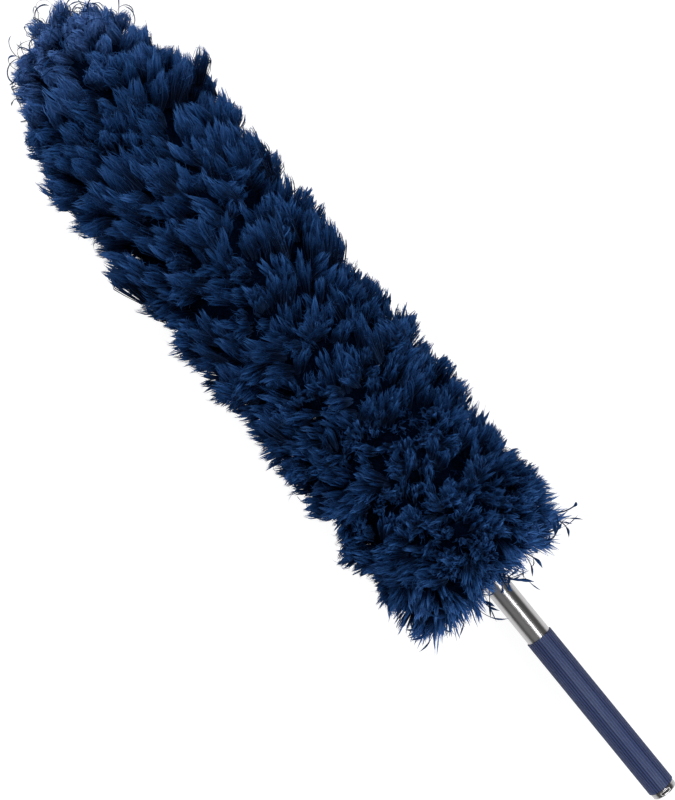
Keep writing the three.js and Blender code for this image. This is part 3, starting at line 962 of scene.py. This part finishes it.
def wisps(locks, rng, count=160):
    """Fine fibres that have come loose and curl over the pile."""
    x, r, angle, normal = locks[:4, rng.choice(locks.shape[1], count, replace=False)]
    point, out, around, along = surface_frames(x, r, angle, normal)
    turn = rng.uniform(0, 2 * math.pi, count)[:, None]
    flat = np.cos(turn) * around + np.sin(turn) * along
    way = unit(out * rng.uniform(0.3, 1.2, count)[:, None] + flat)
    aside = unit(-out + 0.6 * rng.normal(size=(count, 3)))
    start = point - out * rng.uniform(2, 6, count)[:, None] * MM
    length = rng.uniform(7, 15, count) * MM
    path = curls(start, way, aside, length, rng.uniform(0.8, 2.8, count), 8)
    widths = np.interp(np.arange(7), [0, 4, 6], [0.2, 0.2, 0.28]) * MM
    loose_piece("pile_wisps", path, widths, 0.4, rng)


def base_ribbons(rng, bunches=26, each=6):
    """Ribbons with spear-shaped ends that hang in bunches out of the pile round the handle."""
    count = bunches * each
    bunch = np.repeat(np.arange(bunches), each)
    angle = (bunch + rng.uniform(-0.4, 0.4, bunches)[bunch]) * 2 * math.pi / bunches
    angle = angle + rng.normal(0, 0.1, count)
    radius = (rng.uniform(24, 58, bunches)[bunch] + rng.normal(0, 4, count)) * MM
    start_x = np.full(count, SKIRT_FACE + 11 * MM)
    facing_back = np.full(count, -math.pi / 2)
    point, back, around, outward = surface_frames(start_x, radius, angle, facing_back)
    way = 0.9 * back + outward * rng.uniform(0.4, 1.7, bunches)[bunch, None]
    way = way + around * rng.uniform(-0.6, 0.6, bunches)[bunch, None]
    way = unit(way + 0.22 * rng.normal(size=(count, 3)))
    turning = rng.normal(size=(bunches, 3))[bunch] + 0.5 * rng.normal(size=(count, 3))
    aside = unit(np.cross(way, turning))
    looped = rng.uniform(0, 1, count) < 0.3
    turn = np.where(looped, rng.uniform(3.2, 5.4, count), rng.uniform(0.6, 2.6, count))
    length = np.where(looped, rng.uniform(18, 30, count), rng.uniform(18, 38, count)) * MM
    path = curls(point, way, aside, length, turn, 14)
    widths = np.interp(np.arange(13), [0, 8, 10, 11.5, 12], [0.55, 0.5, 1.45, 1.1, 0.6]) * MM
    loose_piece("base_ribbons", path, widths, 0.05, rng)


def tip_curls(locks, rng, count=150):
    """Thin loops and curls that stand out round the head's tip."""
    near_tip = np.flatnonzero(locks[3] > math.radians(25))
    x, r, angle, normal = locks[:4, rng.choice(near_tip, count, replace=True)]
    point, out, _, _ = surface_frames(x, r, angle, normal)
    way = unit(out + 0.7 * rng.normal(size=(count, 3)))
    aside = unit(np.cross(way, rng.normal(size=(count, 3))))
    start = point - out * 5 * MM
    length = rng.uniform(16, 30, count) * MM
    path = curls(start, way, aside, length, rng.uniform(1.6, 4.8, count), 13)
    widths = np.interp(np.arange(12), [0, 7, 10, 11], [0.5, 0.45, 0.9, 0.6]) * MM
    loose_piece("tip_curls", path, widths, 0.3, rng)


navy_pile = pile_material()
# Near-black roots material: painted shade for the deep pile.
painted_shade_roots = roots_material()
rng = np.random.default_rng(SEED)
locks = place_locks(rng)
tape_bore = outer_radius(TAPES[0]) + 0.5 * MM
pieces = [("base_skirt", SKIRT_FACE + 12 * MM, FIRST_ROW, 14 * MM)]
pieces += [(row, reach(row)[0], reach(row)[0] + ROW_PITCH - 0.1 * MM, tape_bore) for row in ROWS]
pieces += [("tip_tuft", TIP_TUFT_START, HEAD_TIP - 24 * MM, tape_bore)]
edges = [-1.0, *(reach(row)[0] for row in ROWS), TIP_TUFT_START, 1.0]
for (node, start, end, bore), low, high in zip(pieces, edges[:-1], edges[1:], strict=True):
    mine = locks[:, (locks[0] >= low) & (locks[0] < high)]
    pile_piece(node + "_pile", node, mine, start, end, bore, rng)
wisps(locks, rng)
base_ribbons(rng)
tip_curls(locks, rng)

# ---- carried-over nodes --------------------------------------------------------------------

CARRIED = [
    (brass_material(), ["middle_friction_sleeve", "inner_friction_sleeve"]),
    (stainless, ["collar_pin"]),
    (plastic, ["socket_collar", "core_tube", "tip_plug"]),
    (tape_material(), [*TAPES, "skirt_tape", "tip_tape"]),
]
for material, nodes in CARRIED:
    for node in nodes:
        mesh = frame["nodes"][node].data
        mesh.materials.clear()
        mesh.materials.append(material)

# ---- stage ---------------------------------------------------------------------------------


def floor():
    """A pale sheet that glows like a light table, so that shadows on it stay faint."""
    size = 20.0
    mesh = bpy.data.meshes.new("floor")
    corners = [(-size, -size, 0), (size, -size, 0), (size, size, 0), (-size, size, 0)]
    mesh.from_pydata(corners, [], [(0, 1, 2, 3)])
    made, _, shader = new_material("floor", Roughness=0.9, Specular_IOR_Level=0.1)
    shader.inputs["Base Color"].default_value = (0.25, 0.25, 0.25, 1)
    shader.inputs["Emission Color"].default_value = (1, 1, 1, 1)
    shader.inputs["Emission Strength"].default_value = 0.92
    mesh.materials.append(made)
    obj = bpy.data.objects.new("floor", mesh)
    bpy.context.scene.collection.objects.link(obj)
    obj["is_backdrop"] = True


def area_light(name, place_at, aim, size, power):
    light = bpy.data.lights.new(name, "AREA")
    light.shape = "RECTANGLE"
    light.size, light.size_y = size
    light.energy = power
    obj = bpy.data.objects.new(name, light)
    obj.location = place_at
    obj.rotation_euler = (Vector(aim) - Vector(place_at)).to_track_quat("-Z", "Y").to_euler()
    bpy.context.scene.collection.objects.link(obj)


def studio():
    """A grey room with a pale band round the floor, and four lights over the duster: a strip and a
    wide fill along it, and one past each end."""
    world = bpy.data.worlds.new("studio")
    bpy.context.scene.world = world
    world.use_nodes = True
    tree = world.node_tree
    up = add_node(tree, "ShaderNodeTexCoord").outputs["Generated"]
    height = add_node(tree, "ShaderNodeSeparateXYZ", {"Vector": up}).outputs["Z"]
    sky = grey_ramp(tree, height, [(0.0, 0.5), (0.04, 0.3), (0.12, 0.08), (1.0, 0.08)])
    tree.links.new(sky, tree.nodes["Background"].inputs["Color"])
    centre = (0, 0, AXIS_Z)
    area_light("strip", (0, -0.32, 1.45), centre, (1.8, 0.2), 10.5)
    area_light("fill", (0, 1.1, 1.35), centre, (2.0, 1.2), 1.6)
    area_light("tip_end", (1.7, 0.0, 1.4), centre, (0.8, 1.2), 16)
    area_light("cap_end", (-1.7, 0.0, 1.4), centre, (0.8, 1.2), 16)
    bpy.context.scene.view_settings.view_transform = "Standard"


def camera():
    """Straight above the duster, which lies head up and to the left across the picture."""
    view_distance = 1.214
    cam = bpy.data.cameras.new("camera")
    cam.sensor_width = 36
    cam.lens = 76.5
    obj = bpy.data.objects.new("camera", cam)
    obj.location = (CAP_END + 0.3651, 0.0048, AXIS_Z + view_distance)
    obj.rotation_euler = (0, 0, math.radians(230.8))
    bpy.context.scene.collection.objects.link(obj)
    bpy.context.scene.camera = obj


floor()
studio()
camera()

low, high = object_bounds()
